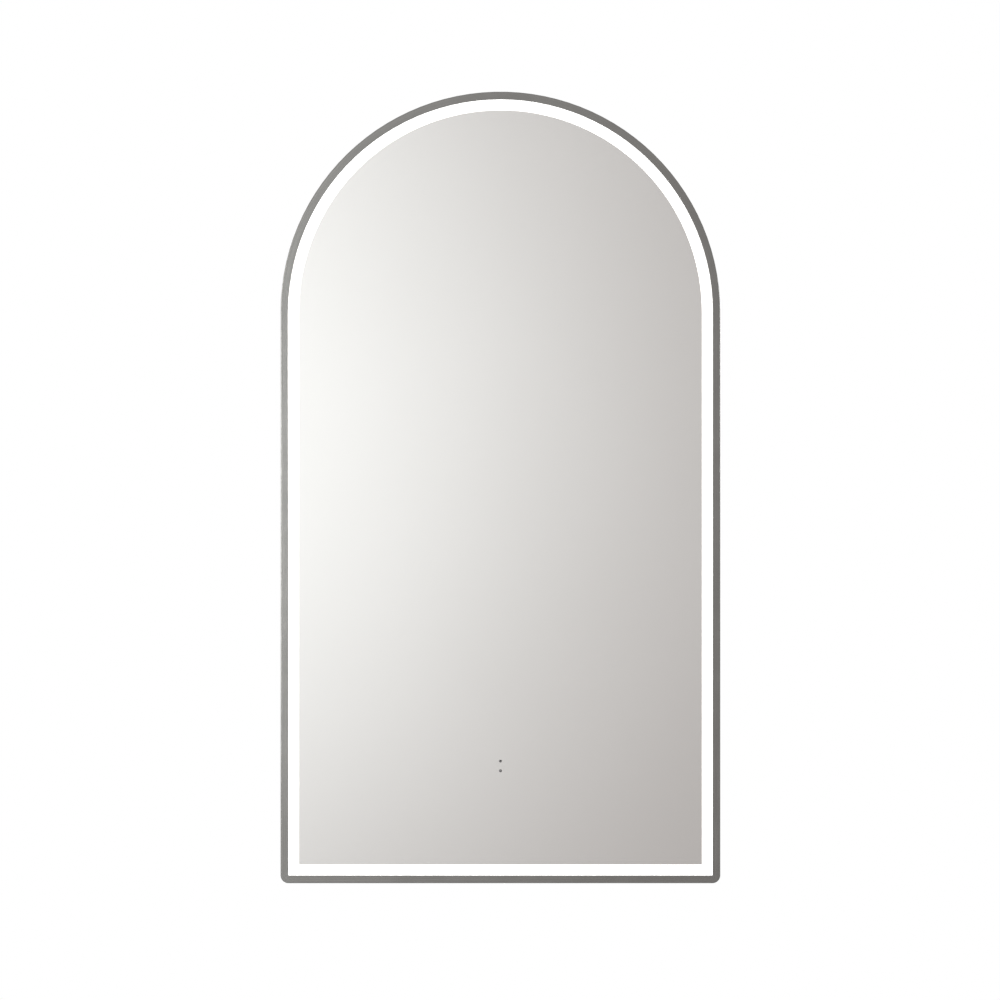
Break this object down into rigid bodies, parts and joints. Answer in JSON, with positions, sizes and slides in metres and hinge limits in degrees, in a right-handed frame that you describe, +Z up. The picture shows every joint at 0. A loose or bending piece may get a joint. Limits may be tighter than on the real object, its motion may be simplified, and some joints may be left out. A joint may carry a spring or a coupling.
{
  "type": "lighted bathroom mirror",
  "caption": "Arched wall mirror in a slim satin metal frame, with a lit white band inside the frame, touch sensor dots, and a wall rail it hangs on.",
  "frame": {"origin": "on the wall face, midway along the screw line of the wall rail", "axes": "+Z up, +Y into the wall, +X to the right of someone facing the mirror; the mirror faces -Y"},
  "size_m": [0.5, 0.042, 0.8999],
  "materials": {
    "frame_metal": "satin gunmetal anodised, fine brushed grain along the rim",
    "clear_glass": "polished float glass",
    "silvering": "silver coating behind the glass",
    "film": "thin safety film",
    "opal": "opal diffusing acrylic, lit",
    "white_metal": "matt white powder coat",
    "zinc_steel": "bright zinc plate",
    "panel_steel": "fine-textured charcoal powder coat",
    "screw_steel": "nickel plate",
    "rivet_metal": "plain",
    "strip": "white flexible circuit",
    "light_chip": "phosphor resin, lit",
    "white_plastic": "moulded, fine spark texture",
    "black_plastic": "moulded, fine spark texture",
    "clear_plastic": "clear moulded light guide",
    "black_rubber": "matt",
    "foam": "closed-cell foam",
    "heater_film": "amber film with a fine heating track",
    "circuit_board": "solder mask",
    "yellow_tape": "insulating tape over a ferrite core",
    "capacitor": "printed sleeve, bare of print",
    "brass_part": "plain",
    "grey_cable": "flexible sheath",
    "white_cable": "flexible sheath",
    "earth_cable": "green sheath with a yellow stripe"
  },
  "bodies": {
    "wall_mount": {"wall_rail": "zinc_steel"},
    "mirror_unit": {"hanger_rail": "zinc_steel", "outer_frame": "frame_metal", "frame_clips": "zinc_steel", "glass_gasket": "black_rubber", "mirror_glass": "clear_glass", "silver_coating": "silvering", "safety_film": "film", "light_diffuser": "opal", "channel_arch": "white_metal", "channel_bottom": "white_metal", "corner_key_left": "zinc_steel", "corner_key_right": "zinc_steel", "corner_screws": "screw_steel", "led_strip_arch": "strip", "led_strip_bottom": "strip", "led_chips_arch": "light_chip", "led_chips_sides": "light_chip", "led_chips_bottom": "light_chip", "strip_connectors": "white_plastic", "back_panel": "panel_steel", "panel_screws": "screw_steel", "hanger_rivets": "rivet_metal", "wall_bumpers": "black_rubber", "demister_pad": "heater_film", "heater_tab": "black_plastic", "support_pads": "foam", "driver_case": "white_plastic", "driver_lid": "white_plastic", "driver_board": "circuit_board", "driver_transformer": "yellow_tape", "driver_capacitors": "capacitor", "driver_sockets": "white_plastic", "driver_screws": "screw_steel", "lid_screws": "screw_steel", "terminal_box": "black_plastic", "terminal_block": "white_plastic", "clamp_screws": "screw_steel", "access_cover": "panel_steel", "cover_screws": "screw_steel", "cable_grommet": "black_rubber", "earth_stud": "brass_part", "earth_tag": "brass_part", "earth_nut": "screw_steel", "sensor_case": "black_plastic", "sensor_board": "circuit_board", "sensor_pins": "clear_plastic", "mains_lead": "grey_cable", "strip_lead": "white_cable", "strip_jumper": "white_cable", "sensor_lead": "white_cable", "heater_lead": "white_cable", "earth_lead": "earth_cable", "lead_clips": "black_plastic"}
  },
  "joints": [
    {"name": "lift_off", "type": "slide", "parent": "wall_mount", "child": "mirror_unit", "axis": [0, 0, 1], "range_m": [0, 0.02]}
  ]
}
